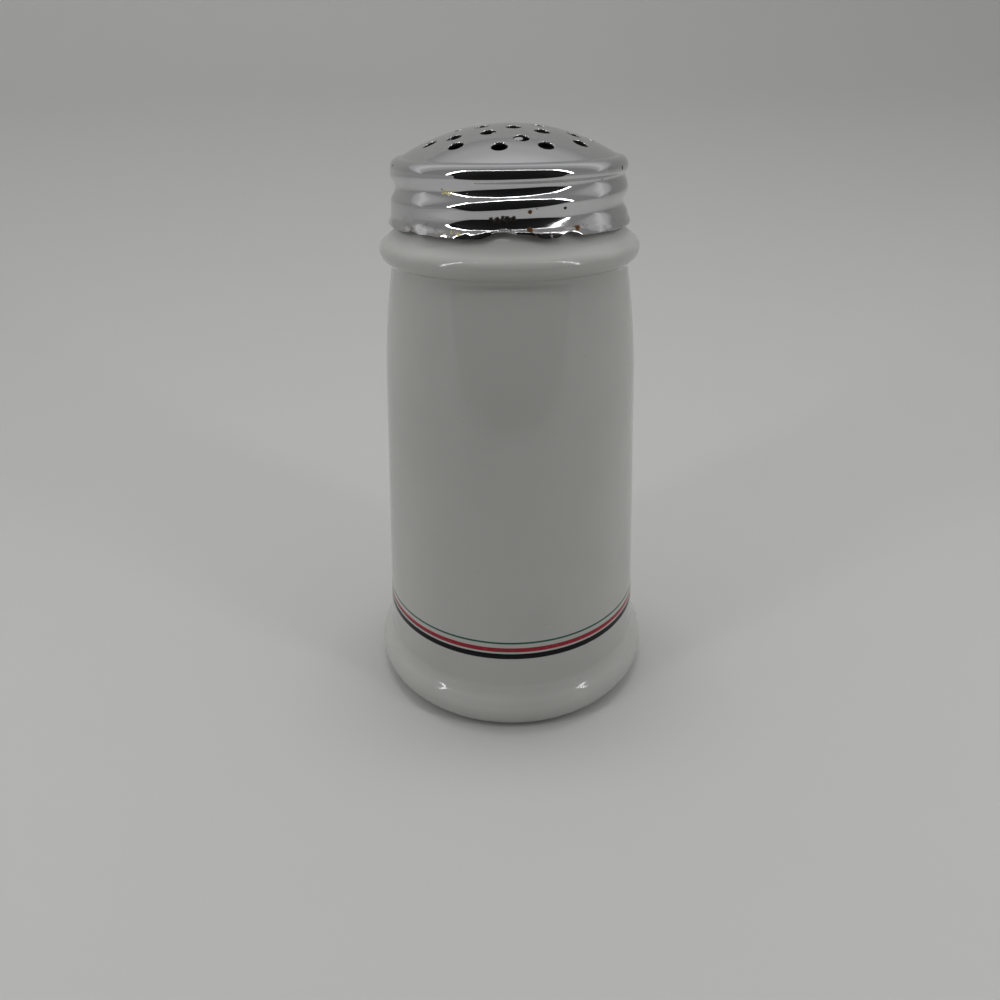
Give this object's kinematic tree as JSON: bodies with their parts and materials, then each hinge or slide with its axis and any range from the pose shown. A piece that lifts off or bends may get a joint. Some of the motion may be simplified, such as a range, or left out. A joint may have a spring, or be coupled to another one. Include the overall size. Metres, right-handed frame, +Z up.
{
  "type": "parmesan shaker",
  "caption": "Ceramic shaker for grated cheese: a leaning glazed wall on a rounded base, a collar under the neck, and a perforated chromed dome cap that screws off.",
  "frame": {"origin": "middle of the foot ring, on the surface that the jar stands on", "axes": "+Z up along the axis of the jar and cap, -Y towards the viewer"},
  "size_m": [0.0872, 0.0872, 0.1608],
  "materials": {
    "white_glaze": "gloss glaze",
    "chromed_sheet": "bright chrome plate, worn at the edge",
    "washer_rubber": "matt",
    "black_enamel": "fired under glaze",
    "red_enamel": "fired under glaze",
    "green_enamel": "fired under glaze"
  },
  "bodies": {
    "jar": {"jar": "white_glaze", "black_band": "black_enamel", "red_band": "red_enamel", "green_band": "green_enamel"},
    "washer": {"sealing_washer": "washer_rubber"},
    "cap": {"cap": "chromed_sheet"}
  },
  "joints": [
    {"name": "cap_lift", "type": "slide", "parent": "jar", "child": "washer", "axis": [0, 0, 1], "range_m": [0, 0.0144]},
    {"name": "cap_turn", "type": "hinge", "parent": "washer", "child": "cap", "pos_m": [0, 0, 0.15], "axis": [0, 0, 1], "range_deg": [0, 810]}
  ],
  "couplings": [
    {"joint": "cap_lift", "follows": "cap_turn", "m_per_rad": 0.0010106}
  ]
}
